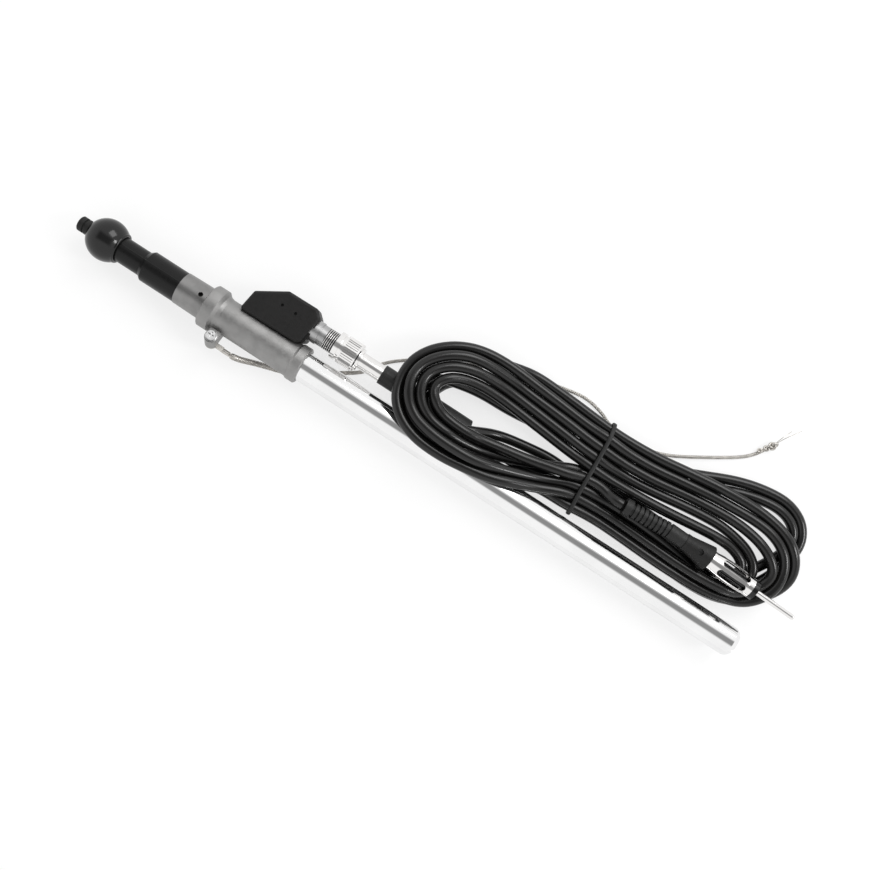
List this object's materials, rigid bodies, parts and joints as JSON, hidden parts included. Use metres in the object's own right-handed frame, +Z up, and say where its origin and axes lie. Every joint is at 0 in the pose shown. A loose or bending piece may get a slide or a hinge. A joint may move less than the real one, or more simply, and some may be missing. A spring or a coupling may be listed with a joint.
{
  "type": "telescopic car mast aerial with coiled lead",
  "caption": "Retractable telescopic car aerial with ball head, cast body, screwed coaxial lead in a tied hank, radio plug and earthing braid.",
  "frame": {"origin": "centre of the collar's front face on the mast axis", "axes": "+X along the mast towards the foot of the tube, so the mast pulls out towards -X, +Y towards the lead's side, +Z up from the ground it lies on"},
  "size_m": [0.4204, 0.1337, 0.0276],
  "materials": {
    "gloss_black": "glossy",
    "moulded_black": "satin",
    "rubber_black": "matt",
    "sheath_black": "satin",
    "cast_grey": "cast",
    "sleeve_grey": "satin",
    "bright_chrome": "polished",
    "plated_steel": "plated",
    "brass": "plain",
    "tinned": "tinned",
    "white_plastic": "matt"
  },
  "bodies": {
    "base": {"ball_cap": "gloss_black", "wiper_seal": "rubber_black", "neck": "gloss_black", "head_sleeve": "sleeve_grey", "cast_body": "cast_grey", "ground_screw": "plated_steel", "ground_washer": "plated_steel", "ground_nut": "plated_steel", "ground_lug": "tinned", "ground_braid": "tinned", "braid_knot": "tinned", "contact_holder": "white_plastic", "contact_ring": "brass", "feed_wire": "brass", "junction_box": "moulded_black", "socket": "plated_steel", "socket_insulator": "white_plastic", "socket_contact": "brass", "cable_ferrule": "bright_chrome", "cable_pin": "brass", "cable_insulator": "white_plastic", "cable_boot": "rubber_black", "lead_start": "sheath_black", "lead_hank": "sheath_black", "lead_end": "sheath_black", "hank_tie": "rubber_black", "plug_relief": "rubber_black", "plug_body": "moulded_black", "plug_screw": "plated_steel", "plug_barrel": "bright_chrome", "plug_insulator": "gloss_black", "plug_pin": "bright_chrome", "main_tube": "bright_chrome", "guide_liner": "white_plastic", "foot_plug": "rubber_black"},
    "coupling_nut": {"coupling_nut": "bright_chrome"},
    "section_1": {"section_1": "bright_chrome", "section_1_foot": "brass"},
    "section_2": {"section_2": "bright_chrome", "section_2_foot": "brass"},
    "section_3": {"section_3": "bright_chrome", "section_3_foot": "brass"},
    "tip": {"tip_rod": "bright_chrome", "tip_rod_foot": "brass", "mast_tip": "moulded_black"}
  },
  "joints": [
    {"name": "nut_turn", "type": "hinge", "parent": "base", "child": "coupling_nut", "pos_m": [0.0746, 0.01885, 0], "axis": [1, 0, 0], "continuous": true},
    {"name": "section_1_slide", "type": "slide", "parent": "base", "child": "section_1", "axis": [-1, 0, 0], "range_m": [0, 0.256]},
    {"name": "section_2_slide", "type": "slide", "parent": "section_1", "child": "section_2", "axis": [-1, 0, 0], "range_m": [0, 0.3655]},
    {"name": "section_3_slide", "type": "slide", "parent": "section_2", "child": "section_3", "axis": [-1, 0, 0], "range_m": [0, 0.3655]},
    {"name": "tip_slide", "type": "slide", "parent": "section_3", "child": "tip", "axis": [-1, 0, 0], "range_m": [0, 0.3655]}
  ]
}
